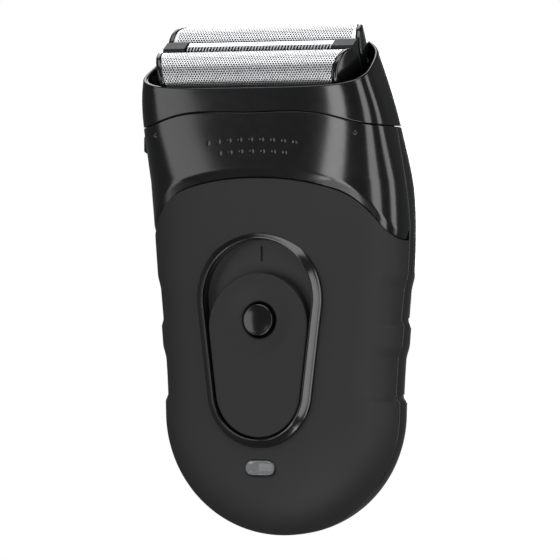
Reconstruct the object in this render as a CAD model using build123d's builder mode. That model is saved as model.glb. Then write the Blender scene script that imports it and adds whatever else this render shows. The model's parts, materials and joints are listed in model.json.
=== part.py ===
"""Foil shaver, built as separate named pieces.

Millimetres. +X to the user's right, -Y is the front, +Z up towards the foils. The origin is the
mouth of the charging socket, at the middle of the rounded foot.
"""

import os
from math import asin, cos, copysign, pi, radians, sin

from build123d import *

os.makedirs("parts", exist_ok=True)

# ---------------------------------------------------------------- driving sizes
foot_radius = 27.8
squareness = 3.0
# height, half width, front y, back y of the outer skin
skin_sections = [
    (foot_radius, foot_radius, -14.4, 14.6),
    (37.0, 28.1, -14.6, 14.9),
    (48.0, 28.9, -14.7, 15.0),
    (60.0, 29.9, -14.8, 15.0),
    (72.0, 30.4, -15.9, 14.6),
    (80.0, 30.4, -17.3, 12.9),
    (87.0, 30.0, -18.8, 9.4),
    (95.0, 29.4, -20.7, 4.9),
    (101.0, 28.3, -22.4, 2.8),
    (108.0, 26.4, -23.6, 1.0),
    (115.0, 24.2, -24.4, -0.6),
]
skin = 1.5
frame_skin = 1.1
lining_inset = skin + 0.25
seam_gap = 0.15
back_flat_y = 14.5
body_split_y = 0.0

head_tilt = 33.1
head_mid = (-12.4, 107.2)
foil_half_pitch = 5.5
foil_radius = 4.4
foil_sheet = 0.2
foil_half_length = 21.6
cap_half_length = foil_half_length + 1.0
cap_radius = 4.7
flank_end = -1.8
rail_end = -3.4
cutter_radius = 4.0
cutter_core_radius = 2.9
cutter_half_length = foil_half_length - 2.0
blade_count = 20
blade_thickness = 0.35
foil_float = 1.2
stroke = 1.0
head_travel = 3.5

well_top_z, well_top_r = 53.5, 13.3
well_bottom_z, well_bottom_r = 32.9, 10.8
collar_slope = 1.8
collar_foot_y = -14.1
well_floor_y = -13.1
slider_face_y = -15.6
slider_gap = 0.4
slider_top_z = 59.3
slider_travel = 5.0
button_z = 48.8
button_radius = 3.55
button_hole_radius = button_radius + 0.5
boss_radius = button_hole_radius + 0.7

light_z = 15.7
light_length, light_width = 6.8, 3.2

battery_radius, battery_z0, battery_z1, battery_y = 7.0, 11.2, 60.0, 4.0
motor_radius, motor_half_depth, motor_y = 10.0, 7.5, -1.9
motor_z0, motor_z1 = 63.0, 84.0
pin_radius = 0.8
shaft_radius = 1.0
rod_radius = 1.0
running_gap = 0.05
rod_z = 87.6
rod_ys = (-8.0, 3.6)
plate_z0, plate_z1 = 91.0, 92.6
inlet_radius, inlet_length = 1.75, 8.0
screw_posts = [(-19.0, 24.0), (19.0, 24.0), (-21.5, 70.0), (21.5, 70.0)]


# ---------------------------------------------------------------- helpers
def section_points(half, front, back, power, steps=10):
    """Half of a rounded box outline, from the front middle round to the back middle."""
    mid, depth = (front + back) / 2, (back - front) / 2
    points = []
    for i in range(steps + 1):
        turn = -pi / 2 + pi * i / steps
        power = power if turn < 0.01 else squareness
        c, s = (cos(turn) if 0 < i < steps else 0.0), sin(turn)
        points.append((half * abs(c) ** (2 / power), mid + depth * copysign(abs(s) ** (2 / power), s)))
    return points


def skin_solid(inset):
    """The outer form shrunk by inset: a loft above the foot and a half turn below it."""
    with BuildPart() as form:
        for height, half, front, back in skin_sections:
            power = squareness + 1.4 * max(0.0, min(1.0, (height - 80) / 20))
            with BuildSketch(Plane.XY.offset(height)):
                with BuildLine():
                    Spline(*section_points(half - inset, front + inset, back - inset, power),
                           tangents=[(1, 0), (-1, 0)])
                    mirror(about=Plane.YZ)
                make_face()
        loft()
        height, half, front, back = skin_sections[0]
        with BuildSketch(Plane.XY.offset(height)):
            with BuildLine():
                edge = Spline(*section_points(half - inset, front + inset, back - inset, squareness),
                              tangents=[(1, 0), (-1, 0)])
                Line(edge @ 1, edge @ 0)
            make_face()
        revolve(axis=Axis((0, 0, height), (0, 1, 0)), revolution_arc=180)
    return form.part


def egg(top_z, top_r, bottom_z, bottom_r):
    """Flat outline of two circles joined by their tangents, local y up."""
    lean = asin((top_r - bottom_r) / (top_z - bottom_z))
    with BuildSketch(Plane.XY) as outline:
        with BuildLine():
            top = ThreePointArc((top_r * cos(lean), top_z - top_r * sin(lean)), (0, top_z + top_r),
                                (-top_r * cos(lean), top_z - top_r * sin(lean)))
            bottom = ThreePointArc((-bottom_r * cos(lean), bottom_z - bottom_r * sin(lean)),
                                   (0, bottom_z - bottom_r),
                                   (bottom_r * cos(lean), bottom_z - bottom_r * sin(lean)))
            Line(top @ 1, bottom @ 0)
            Line(bottom @ 1, top @ 0)
        make_face()
    return outline.sketch_local


def front_plane(y):
    """Plane at depth y facing the front, local x to the right, local y up."""
    return Plane(origin=(0, y, 0), x_dir=(1, 0, 0), z_dir=(0, -1, 0))


def side_plane(x):
    """Plane at width x facing right, local x to the back, local y up."""
    return Plane(origin=(x, 0, 0), x_dir=(0, 1, 0), z_dir=(1, 0, 0))


tilt_c, tilt_s = cos(radians(head_tilt)), sin(radians(head_tilt))


def head_profile(x=0.0):
    """Plane at width x in the tilted head: local x runs up the tilt, local y out of the head."""
    return Plane(origin=(x, *head_mid), x_dir=(0, tilt_c, tilt_s), z_dir=(1, 0, 0))


def head_level(n, u=0.0, x=0.0):
    """Plane across the tilted head at height n: local x to the right, local y up the tilt."""
    origin = (x, head_mid[0] + u * tilt_c - n * tilt_s, head_mid[1] + u * tilt_s + n * tilt_c)
    return Plane(origin=origin, x_dir=(1, 0, 0), z_dir=(0, -tilt_s, tilt_c))


def arch(u, radius, low):
    """D outline: a half circle about (u, 0) with straight flanks down to low."""
    with BuildSketch(Plane.XY) as outline:
        with BuildLine():
            Polyline((u + radius, 0), (u + radius, low), (u - radius, low), (u - radius, 0))
            ThreePointArc((u - radius, 0), (u, radius), (u + radius, 0))
        make_face()
    return outline.sketch_local


def coil(plane, radius, height, turns, wire):
    """Round wire spring standing on a plane."""
    path = plane * Helix(pitch=height / turns, height=height, radius=radius)
    section = Plane(origin=path @ 0, z_dir=path % 0) * Circle(wire)
    return Part() + sweep(section, path=path, is_frenet=True)


def seam_edge(gap):
    """Head seam, level at the front and dipping at the sides, as a wall from side to side."""
    with BuildPart() as wall:
        with BuildSketch(Plane.XZ.offset(40)):
            with BuildLine():
                edge = Spline((-34, 91.9 + gap), (-26.5, 92.3 + gap), (-19, 94.2 + gap), (0, 95.0 + gap),
                              (19, 94.2 + gap), (26.5, 92.3 + gap), (34, 91.9 + gap))
                Polyline(edge @ 1, (34, 130), (-34, 130), edge @ 0)
            make_face()
        extrude(amount=-80)
    return wall.part


def arch_region(gap):
    """Everything below the arched upper edge of the grip panel."""
    with BuildPart() as region:
        with BuildSketch(front_plane(40)):
            with BuildLine():
                edge = Spline((-34, 64.4 - gap), (-30, 66.9 - gap), (-25.5, 73.0 - gap), (-17, 78.4 - gap),
                              (0, 80.5 - gap), (17, 78.4 - gap), (25.5, 73.0 - gap), (30, 66.9 - gap),
                              (34, 64.4 - gap))
                Polyline(edge @ 1, (34, -5), (-34, -5), edge @ 0)
            make_face()
        extrude(amount=80)
    return region.part


def front_region(shift):
    """Everything in front of the case seam, which leans forward above the grip."""
    with BuildPart() as region:
        with BuildSketch(side_plane(-40)):
            Polygon((shift, -5), (shift, 70), (shift - 7.5, 96), (shift - 7.5, 130), (-60, 130), (-60, -5),
                    align=None)
        extrude(amount=80)
    return region.part


outer = skin_solid(0)
hollow = skin_solid(skin)
lining = skin_solid(lining_inset)
head_clear = skin_solid(frame_skin + 0.35)
above_seam = seam_edge(seam_gap / 2)
above_seam_low = seam_edge(-seam_gap / 2)
case = outer - hollow - above_seam_low
case_front = case & front_region(-seam_gap / 2)
case_rear = case - front_region(seam_gap / 2)

# ---------------------------------------------------------------- case
with BuildPart() as grip_panel:
    add(case_front & arch_region(seam_gap / 2))
    with BuildSketch(front_plane(-5)):
        add(egg(well_top_z, well_top_r + collar_slope - 0.35, well_bottom_z, well_bottom_r + collar_slope - 0.35))
        with Locations((0, light_z)):
            SlotOverall(light_length + 0.3, light_width + 0.3)
    extrude(amount=20, mode=Mode.SUBTRACT)
    with BuildSketch(front_plane(collar_foot_y + 0.15)):
        add(egg(well_top_z, well_top_r + collar_slope + 0.15, well_bottom_z, well_bottom_r + collar_slope + 0.15))
    extrude(amount=10, mode=Mode.SUBTRACT)
    with BuildSketch(Plane.XY.offset(-2)):
        Circle(inlet_radius + 1.1)
    extrude(amount=6, mode=Mode.SUBTRACT)
grip_panel.part.label = "grip_panel"
export_step(grip_panel.part, "parts/grip_panel.step")

dimples = []
for row, (count, height) in enumerate([(9, 89.0), (7, 86.4)]):
    for i in range(count):
        across = (i - (count - 1) / 2) * 2.65
        dimples.append((across, height - 0.75 * (across / 10.6) ** 2))
with BuildPart() as upper_cover:
    add(case_front - arch_region(-seam_gap / 2))
    with BuildSketch(front_plane(-18.2)):
        with Locations(*dimples):
            Circle(0.6)
    extrude(amount=6, mode=Mode.SUBTRACT)
    with BuildSketch(front_plane(-17.9)):
        with Locations(*dimples):
            Circle(0.75)
    extrude(amount=0.5)
    with BuildSketch(Plane(origin=(-26, -5.0, 88.5), x_dir=(0, 1, 0), z_dir=(-1, 0, 0))):
        RectangleRounded(9.4, 5.4, 0.8)
    extrude(amount=10, mode=Mode.SUBTRACT)
upper_cover.part.label = "upper_cover"
export_step(upper_cover.part, "parts/upper_cover.step")

with BuildPart() as rear_bosses:
    for x, z in screw_posts:
        with BuildSketch(front_plane(14.0)):
            with Locations((x, z)):
                Circle(3.3)
        extrude(amount=5.0)

with BuildPart() as rear_cover:
    add(case_rear)
    add(rear_bosses.part & outer)
    for x, z in screw_posts:
        with BuildSketch(front_plane(20)):
            with Locations((x, z)):
                Circle(2.4)
        extrude(amount=9.0, mode=Mode.SUBTRACT)
        with BuildSketch(front_plane(20)):
            with Locations((x, z)):
                Circle(1.15)
        extrude(amount=20, mode=Mode.SUBTRACT)
    with Locations((0, back_flat_y + 10, 50)):
        Box(80, 20, 120, mode=Mode.SUBTRACT)
    with BuildSketch(Plane(origin=(-26, -5.0, 88.5), x_dir=(0, 1, 0), z_dir=(-1, 0, 0))):
        RectangleRounded(9.4, 5.4, 0.8)
    extrude(amount=10, mode=Mode.SUBTRACT)
    with BuildSketch(Plane.XY.offset(-2)):
        Circle(inlet_radius + 1.1)
    extrude(amount=6, mode=Mode.SUBTRACT)
rear_cover.part.label = "rear_cover"
export_step(rear_cover.part, "parts/rear_cover.step")

with BuildPart() as switch_collar:
    with BuildSketch(front_plane(collar_foot_y)):
        add(egg(well_top_z, well_top_r + collar_slope, well_bottom_z, well_bottom_r + collar_slope))
    extrude(amount=2.1, taper=38)
    with BuildSketch(front_plane(collar_foot_y + 1.3)):
        add(egg(well_top_z, well_top_r + collar_slope - 0.5, well_bottom_z, well_bottom_r + collar_slope - 0.5))
    extrude(amount=1.3)
    with BuildSketch(front_plane(-10)):
        add(egg(well_top_z, well_top_r, well_bottom_z, well_bottom_r))
    extrude(amount=10, mode=Mode.SUBTRACT)
switch_collar.part.label = "switch_collar"
export_step(switch_collar.part, "parts/switch_collar.step")

with BuildPart() as switch_well:
    with BuildSketch(front_plane(well_floor_y + 1.2)):
        add(egg(well_top_z, well_top_r - 0.05, well_bottom_z, well_bottom_r - 0.05))
    extrude(amount=1.2)
    with BuildSketch(front_plane(well_floor_y + 2)):
        with Locations((0, button_z + slider_travel / 2)):
            SlotOverall(2 * boss_radius + 0.7 + slider_travel, 2 * boss_radius + 0.7, rotation=90)
    extrude(amount=4, mode=Mode.SUBTRACT)
    with BuildSketch(front_plane(well_floor_y + 0.4)):
        with Locations((0, 63.6)):
            Rectangle(0.6, 3.4)
    extrude(amount=2, mode=Mode.SUBTRACT)
switch_well.part.label = "switch_well"
export_step(switch_well.part, "parts/switch_well.step")

# ---------------------------------------------------------------- switch
slider_top_r = 12.1
slider_bottom_r = well_bottom_r - slider_gap
dish_sphere = 36.0
with BuildPart() as switch_slider:
    with BuildSketch(front_plane(well_floor_y - 0.15)):
        add(egg(slider_top_z - slider_top_r, slider_top_r, well_bottom_z, slider_bottom_r))
    extrude(amount=well_floor_y - 0.15 - slider_face_y)
    with BuildSketch(front_plane(-9.0)):
        with Locations((0, button_z)):
            Circle(boss_radius)
    extrude(amount=5.0)
    with Locations((0, slider_face_y - dish_sphere + 0.75, button_z)):
        Sphere(dish_sphere, mode=Mode.SUBTRACT)
    with BuildSketch(front_plane(-10.2)):
        with Locations((0, button_z)):
            Circle(button_hole_radius)
    extrude(amount=10, mode=Mode.SUBTRACT)
switch_slider.part.label = "switch_slider"
export_step(switch_slider.part, "parts/switch_slider.step")

with BuildPart() as lock_button:
    with BuildSketch(front_plane(-12.6)):
        with Locations((0, button_z)):
            Circle(button_radius)
    extrude(amount=3.2)
    fillet(lock_button.edges().sort_by(Axis.Y)[0], 0.4)
lock_button.part.label = "lock_button"
export_step(lock_button.part, "parts/lock_button.step")

button_spring_plane = Plane(origin=(0, -10.45, button_z), x_dir=(1, 0, 0), z_dir=(0, -1, 0))
lock_button_spring = coil(button_spring_plane, 2.2, 1.9, 2.5, 0.18)
lock_button_spring.label = "lock_button_spring"
export_step(lock_button_spring, "parts/lock_button_spring.step")

with BuildPart() as switch_wipers:
    for x in (-2.4, 2.4):
        with BuildSketch(side_plane(x - 0.6)):
            Polygon((-9.0, 46.4), (-8.4, 45.0), (-8.4, 44.6), (-9.0, 46.0), align=None)
            Polygon((-9.0, 46.0), (-8.75, 46.0), (-8.75, 51.0), (-9.0, 51.0), align=None)
        extrude(amount=1.2)
switch_wipers.part.label = "switch_wipers"
export_step(switch_wipers.part, "parts/switch_wipers.step")

# ---------------------------------------------------------------- inner frame and electrics
with BuildPart() as chassis:
    with Locations((0, -10.9, 48)):
        Box(70, 1.4, 84)
    for x, z in screw_posts:
        with BuildSketch(front_plane(8.7)):
            with Locations((x, z)):
                Circle(2.7)
        extrude(amount=19.0)
    for side in (-1, 1):
        with Locations((side * 24.3, -5.6, 83.9)):
            Box(1.4, 9.6, 7.4)
    add(lining, mode=Mode.INTERSECT)
    with BuildSketch(front_plane(-5)):
        with Locations((0, button_z + slider_travel / 2 - 1)):
            SlotOverall(2 * boss_radius + 2.7 + slider_travel, 2 * boss_radius + 0.8, rotation=90)
        with Locations((0, light_z)):
            SlotOverall(light_length - 0.6, light_width - 0.6)
    extrude(amount=10, mode=Mode.SUBTRACT)
    for x, z in screw_posts:
        with BuildSketch(front_plane(10)):
            with Locations((x, z)):
                Circle(0.95)
        extrude(amount=16, mode=Mode.SUBTRACT)
chassis.part.label = "chassis"
export_step(chassis.part, "parts/chassis.step")

with BuildPart() as housing_screws:
    for x, z in screw_posts:
        with BuildSketch(front_plane(11.4)):
            with Locations((x, z)):
                Circle(0.9)
        extrude(amount=15.4)
        with BuildSketch(front_plane(12.6)):
            with Locations((x, z)):
                Circle(1.9)
        extrude(amount=1.55)
        with BuildSketch(front_plane(12.6)):
            with Locations((x, z)):
                Rectangle(2.4, 0.45)
                Rectangle(0.45, 2.4)
        extrude(amount=0.8, mode=Mode.SUBTRACT)
housing_screws.part.label = "housing_screws"
export_step(housing_screws.part, "parts/housing_screws.step")

with BuildPart() as circuit_board:
    with Locations((0, -7.6, 36.0)):
        Box(18.0, 1.2, 50.0)
circuit_board.part.label = "circuit_board"
export_step(circuit_board.part, "parts/circuit_board.step")

with BuildPart() as board_components:
    for x, z, wide, tall, deep in [(-4.5, 18.5, 5.0, 6.2, 1.2), (4.4, 19.5, 3.4, 3.4, 1.8), (5.2, 27.0, 4.0, 2.6, 1.0),
                                   (-5.0, 28.0, 3.0, 3.0, 1.4), (0.0, 58.0, 6.0, 3.0, 1.2)]:
        with Locations((x, -7.0 + deep / 2, z)):
            Box(wide, deep, tall)
board_components.part.label = "board_components"
export_step(board_components.part, "parts/board_components.step")

with BuildPart() as light_lens:
    with BuildSketch(front_plane(-11.65)):
        with Locations((0, light_z)):
            SlotOverall(light_length, light_width)
    extrude(amount=2.75)
light_lens.part.label = "light_lens"
export_step(light_lens.part, "parts/light_lens.step")

with BuildPart() as charge_light:
    with Locations((0, -9.3, light_z)):
        Box(3.2, 2.2, 1.6)
charge_light.part.label = "charge_light"
export_step(charge_light.part, "parts/charge_light.step")

with BuildPart() as charge_socket:
    with BuildSketch(Plane.XY.offset(0.25)):
        Circle(inlet_radius + 0.95)
    extrude(amount=9.2)
    with Locations((0, 0, 6.6)):
        Box(8.0, 8.0, 5.6)
    with BuildSketch(Plane.XY.offset(0)):
        Circle(inlet_radius)
    extrude(amount=0.25 + inlet_length, mode=Mode.SUBTRACT)
charge_socket.part.label = "charge_socket"
export_step(charge_socket.part, "parts/charge_socket.step")

with BuildPart() as battery_cell:
    with BuildSketch(Plane.XY.offset(battery_z0)):
        with Locations((0, battery_y)):
            Circle(battery_radius)
    extrude(amount=battery_z1 - battery_z0)
    fillet(battery_cell.edges().filter_by(GeomType.CIRCLE), 0.6)
    with BuildSketch(Plane.XY.offset(battery_z1 - 0.1)):
        with Locations((0, battery_y)):
            Circle(2.6)
    extrude(amount=0.9)
battery_cell.part.label = "battery_cell"
export_step(battery_cell.part, "parts/battery_cell.step")

with BuildPart() as battery_cradle:
    with Locations((0, -3.0, 36.0)):
        Box(22.0, 14.2, 50.8)
    with Locations((0, -2.2, 62.1)):
        Box(22.0, 15.8, 1.7)
    with Locations((0, -8.6, 36.0)):
        Box(19.0, 6.9, 56.0, mode=Mode.SUBTRACT)
    with BuildSketch(Plane.XY.offset(5)):
        with Locations((0, battery_y)):
            Circle(battery_radius + 0.15)
    extrude(amount=56.3, mode=Mode.SUBTRACT)
battery_cradle.part.label = "battery_cradle"
export_step(battery_cradle.part, "parts/battery_cradle.step")

with BuildPart() as battery_contacts:
    with Locations((0, battery_y, battery_z0 - 0.25)):
        Box(8.0, 8.0, 0.4)
    with Locations((0, battery_y, battery_z1 + 1.1)):
        Box(8.0, 6.0, 0.4)
battery_contacts.part.label = "battery_contacts"
export_step(battery_contacts.part, "parts/battery_contacts.step")

# ---------------------------------------------------------------- drive
with BuildPart() as motor:
    with BuildSketch(Plane.XY.offset(motor_z0)):
        with Locations((0, motor_y)):
            Circle(motor_radius)
            Rectangle(2 * motor_radius + 2, 2 * motor_half_depth, mode=Mode.INTERSECT)
    extrude(amount=motor_z1 - motor_z0)
    with BuildSketch(Plane.XY.offset(motor_z1)):
        with Locations((0, motor_y)):
            Circle(2.2)
    extrude(amount=0.5)
    with BuildSketch(Plane.XY.offset(motor_z0 + 2)):
        with Locations((0, motor_y)):
            Circle(shaft_radius + running_gap)
    extrude(amount=40, mode=Mode.SUBTRACT)
    with BuildSketch(Plane.XY.offset(motor_z1 - 3)):
        with Locations((-6.5, motor_y), (6.5, motor_y)):
            Circle(0.8)
    extrude(amount=8, mode=Mode.SUBTRACT)
motor.part.label = "motor"
export_step(motor.part, "parts/motor.step")

with BuildPart() as motor_shaft:
    with BuildSketch(Plane.XY.offset(motor_z0 + 2.2)):
        with Locations((0, motor_y)):
            Circle(shaft_radius)
    extrude(amount=86.6 - motor_z0 - 2.2)
motor_shaft.part.label = "motor_shaft"
export_step(motor_shaft.part, "parts/motor_shaft.step")

with BuildPart() as eccentric:
    with BuildSketch(Plane.XY.offset(85.3)):
        with Locations((0, motor_y)):
            Circle(2.6)
    extrude(amount=1.9)
    with BuildSketch(Plane.XY.offset(87.2)):
        with Locations((0, motor_y - stroke)):
            Circle(pin_radius)
    extrude(amount=2.0)
    with BuildSketch(Plane.XY.offset(85.3)):
        with Locations((0, motor_y)):
            Circle(shaft_radius + 0.01)
    extrude(amount=1.35, mode=Mode.SUBTRACT)
eccentric.part.label = "eccentric"
export_step(eccentric.part, "parts/eccentric.step")

with BuildPart() as drive_frame:
    with Locations((0, -2.2, motor_z1 + 0.5)):
        Box(47.0, 14.6, 1.0)
    for side in (-1, 1):
        with Locations((side * 13.6, -2.2, 87.0)):
            Box(1.2, 14.6, 4.2)
    with BuildSketch(Plane.XY.offset(motor_z1)):
        with Locations((0, motor_y)):
            Circle(3.4)
        with Locations((-6.5, motor_y), (6.5, motor_y)):
            Circle(0.85)
    extrude(amount=2, mode=Mode.SUBTRACT)
    with BuildSketch(side_plane(-20)):
        with Locations((rod_ys[0], rod_z), (rod_ys[1], rod_z)):
            Circle(rod_radius + 0.01)
    extrude(amount=40, mode=Mode.SUBTRACT)
    fillet(drive_frame.edges().filter_by(Axis.X).group_by(Axis.Z)[-1], 1.0)
drive_frame.part.label = "drive_frame"
export_step(drive_frame.part, "parts/drive_frame.step")

with BuildPart() as frame_screws:
    for x in (-6.5, 6.5):
        with BuildSketch(Plane.XY.offset(motor_z1 - 2.5)):
            with Locations((x, motor_y)):
                Circle(0.75)
        extrude(amount=3.6)
        with BuildSketch(Plane.XY.offset(motor_z1 + 1.02)):
            with Locations((x, motor_y)):
                Circle(1.5)
        extrude(amount=1.0)
frame_screws.part.label = "frame_screws"
export_step(frame_screws.part, "parts/frame_screws.step")

with BuildPart() as guide_rods:
    for y in rod_ys:
        with BuildSketch(side_plane(-14.6)):
            with Locations((y, rod_z)):
                Circle(rod_radius)
        extrude(amount=29.2)
guide_rods.part.label = "guide_rods"
export_step(guide_rods.part, "parts/guide_rods.step")

arm_low, arm_high = -9.4, -7.6
with BuildPart() as oscillator:
    with Locations((0, -2.2, 89.2)):
        Box(20.0, 13.2, 1.4)
    with BuildSketch(side_plane(-9.0)):
        with Locations((rod_ys[0], rod_z), (rod_ys[1], rod_z)):
            Circle(1.8)
    extrude(amount=18.0)
    with BuildSketch(side_plane(-10.5)):
        with Locations((rod_ys[0], rod_z), (rod_ys[1], rod_z)):
            Circle(rod_radius + running_gap)
    extrude(amount=21.0, mode=Mode.SUBTRACT)
    with BuildSketch(head_level(-21.2)):
        Rectangle(5.0, 3.6)
    extrude(amount=21.2 + arm_high)
    with Locations(head_level((arm_low + arm_high) / 2)):
        Box(6.0, 13.8, arm_high - arm_low)
        Box(3.3, 1.2, 4.0, mode=Mode.SUBTRACT)
    with Locations((0, -2.2, 86.5)):
        Box(5.6, 8.0, 4.0, mode=Mode.SUBTRACT)
    with Locations((0, motor_y, 88.7)):
        Box(2 * (pin_radius + 2 * stroke + 0.2), 2 * (pin_radius + stroke + 0.3), 1.4, mode=Mode.SUBTRACT)
oscillator.part.label = "oscillator"
export_step(oscillator.part, "parts/oscillator.step")

cutter_us = {"front": -foil_half_pitch, "rear": foil_half_pitch}
with BuildPart() as drive_pins:
    for u in cutter_us.values():
        with BuildSketch(head_level(arm_high, u)):
            Circle(1.2)
        extrude(amount=-arm_high - 0.2)
drive_pins.part.label = "drive_pins"
export_step(drive_pins.part, "parts/drive_pins.step")

with BuildPart() as head_plate:
    with Locations((0, -5, (plate_z0 + plate_z1) / 2)):
        Box(70, 40, plate_z1 - plate_z0)
    with Locations((0, -7.3, plate_z1 + 0.4)):
        Box(20.0, 18.0, 0.8)
    add(lining, mode=Mode.INTERSECT)
    with Locations((0, -2.9, plate_z0 + 1)):
        Box(2 * (2.5 + stroke + 0.4), 8.6, 6, mode=Mode.SUBTRACT)
    for side in (-1, 1):
        with Locations((side * 28.8, -4.5, plate_z0)):
            Box(8, 12, 8, mode=Mode.SUBTRACT)
head_plate.part.label = "head_plate"
export_step(head_plate.part, "parts/head_plate.step")

with BuildPart() as drive_seal:
    with BuildSketch(Plane.XY.offset(plate_z1 + 0.82)):
        with Locations((0, -3.4)):
            RectangleRounded(11.4, 11.4, 1.5)
            RectangleRounded(2 * (2.5 + stroke + 0.4), 8.6, 0.8, mode=Mode.SUBTRACT)
    extrude(amount=1.0)
drive_seal.part.label = "drive_seal"
export_step(drive_seal.part, "parts/drive_seal.step")

# ---------------------------------------------------------------- cutters
for name, u in cutter_us.items():
    with BuildPart() as carrier:
        with BuildSketch(head_profile(-cutter_half_length)):
            add(arch(u, cutter_core_radius, -2.0))
        extrude(amount=2 * cutter_half_length)
        with BuildSketch(head_level(-3.0, u)):
            Circle(1.27)
        extrude(amount=4.5, mode=Mode.SUBTRACT)
    carrier.part.label = name + "_cutter_carrier"
    export_step(carrier.part, "parts/" + name + "_cutter_carrier.step")

    pitch = (2 * cutter_half_length - 1.2) / (blade_count - 1)
    with BuildPart() as blades:
        for i in range(blade_count):
            with BuildSketch(head_profile(-cutter_half_length + 0.6 + i * pitch - blade_thickness / 2)):
                add(arch(u, cutter_radius, -0.1))
                add(arch(u, cutter_core_radius + 0.02, -0.6), mode=Mode.SUBTRACT)
            extrude(amount=blade_thickness)
    blades.part.label = name + "_cutter_blades"
    export_step(blades.part, "parts/" + name + "_cutter_blades.step")

    cutter_spring = coil(head_level(arm_high + 0.3, u), 1.75, -2.0 - arm_high - 0.55, 4.5, 0.2)
    cutter_spring.label = name + "_cutter_spring"
    export_step(cutter_spring, "parts/" + name + "_cutter_spring.step")

# ---------------------------------------------------------------- head
with BuildPart() as head_frame:
    add(outer - skin_solid(frame_skin))
    add(above_seam, mode=Mode.INTERSECT)
    with BuildSketch(head_profile(-40)):
        with BuildLine():
            rim = Spline((-13.5, -0.6), (-8, -0.9), (0, -1.6), (8, -1.9), (14, -1.6))
            Polyline(rim @ 1, (60, -1.6), (60, 60), (-60, 60), (-60, -0.6), rim @ 0)
        make_face()
    extrude(amount=80, mode=Mode.SUBTRACT)
    for u in cutter_us.values():
        with BuildSketch(head_profile(-foil_half_length - 0.25)):
            add(arch(u, foil_radius + 0.25, flank_end - 1.5))
        extrude(amount=2 * foil_half_length + 0.5, mode=Mode.SUBTRACT)
        with BuildSketch(head_profile(-cutter_half_length - stroke - 0.25)):
            add(arch(u, cutter_radius + 0.25, -0.6 - head_travel - 1.5))
        extrude(amount=2 * (cutter_half_length + stroke + 0.25), mode=Mode.SUBTRACT)
    for side in (-1, 1):
        with Locations((side * 27.4, -3.5, 95.3)):
            Box(3.9, 4.6, 1.6)
        with Locations((side * 26.0, -3.5, 91.9)):
            Box(1.2, 4.6, 8.4)
head_frame.part.label = "head_frame"
export_step(head_frame.part, "parts/head_frame.step")

holder_low, holder_high = -6.2, -5.0
with BuildPart() as foil_holder:
    with Locations(head_level((holder_low + holder_high) / 2)):
        Box(70, 44, holder_high - holder_low)
    add(head_clear, mode=Mode.INTERSECT)
    for u in cutter_us.values():
        with Locations(head_level(holder_low, u)):
            Box(2 * (foil_half_length - 0.2), 2 * 4.35, 6, mode=Mode.SUBTRACT)
    with Locations(head_level(holder_low)):
        Box(3.0 + 2 * stroke + 0.6, 1.4, 6, mode=Mode.SUBTRACT)
    with Locations(head_level(holder_low, 29.85)):
        Box(80, 40, 20, mode=Mode.SUBTRACT)
foil_holder.part.label = "foil_holder"
export_step(foil_holder.part, "parts/foil_holder.step")

for name, u in cutter_us.items():
    with BuildPart() as foil:
        with BuildSketch(head_profile(-foil_half_length)):
            add(arch(u, foil_radius, flank_end))
            add(arch(u, foil_radius - foil_sheet, flank_end - 1), mode=Mode.SUBTRACT)
        extrude(amount=2 * foil_half_length)
    foil.part.label = name + "_foil"
    export_step(foil.part, "parts/" + name + "_foil.step")

    with BuildPart() as cradle:
        for side in (-1, 1):
            inner = foil_half_length + 0.02
            start = -cap_half_length if side < 0 else inner
            with BuildSketch(head_profile(start)):
                add(arch(u, cap_radius, rail_end))
            extrude(amount=cap_half_length - inner)
            with BuildSketch(head_profile(side * foil_half_length - side * 0.5 - 0.52)):
                add(arch(u, cap_radius, rail_end))
                add(arch(u, foil_radius + 0.02, rail_end - 1), mode=Mode.SUBTRACT)
            extrude(amount=1.04)
        for flank in (-1, 1):
            with Locations(head_level((rail_end + flank_end) / 2 - 0.01, u + flank * 4.47)):
                Box(2 * foil_half_length + 0.2, 0.5, flank_end - rail_end - 0.02)
        add(head_clear, mode=Mode.INTERSECT)
    cradle.part.label = name + "_foil_cradle"
    export_step(cradle.part, "parts/" + name + "_foil_cradle.step")

    post_height = rail_end - holder_high - 0.3
    posts = [coil(head_level(holder_high + 0.15, u, x), 0.45, post_height, 2.5, 0.12) for x in (-foil_half_length - 0.5, foil_half_length + 0.5)]
    with BuildPart() as springs:
        for post in posts:
            add(post)
    springs.part.label = name + "_foil_springs"
    export_step(springs.part, "parts/" + name + "_foil_springs.step")

block_inner = foil_half_length - 3.6
block_outer = foil_half_length + 1.6
with BuildPart() as trimmer_blocks:
    for side in (-1, 1):
        start = -block_outer if side < 0 else block_inner
        with BuildSketch(head_profile(start)):
            with BuildLine():
                low = Polyline((-0.45, holder_high + 0.02), (-0.45, -1.6), (-0.7, -1.2), (-0.7, 0.2))
                left = ThreePointArc((-0.7, 0.2), (-0.99, 1.7), (-1.95, 3.4))
                Polyline((-1.95, 3.4), (-1.4, 3.9), (1.4, 3.9), (1.95, 3.4))
                right = ThreePointArc((1.95, 3.4), (0.99, 1.7), (0.7, 0.2))
                Polyline((0.7, 0.2), (0.7, -1.2), (0.45, -1.6), (0.45, holder_high + 0.02), (-0.45, holder_high + 0.02))
            make_face()
        extrude(amount=block_outer - block_inner)
    add(head_clear, mode=Mode.INTERSECT)
trimmer_blocks.part.label = "trimmer_blocks"
export_step(trimmer_blocks.part, "parts/trimmer_blocks.step")

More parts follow.
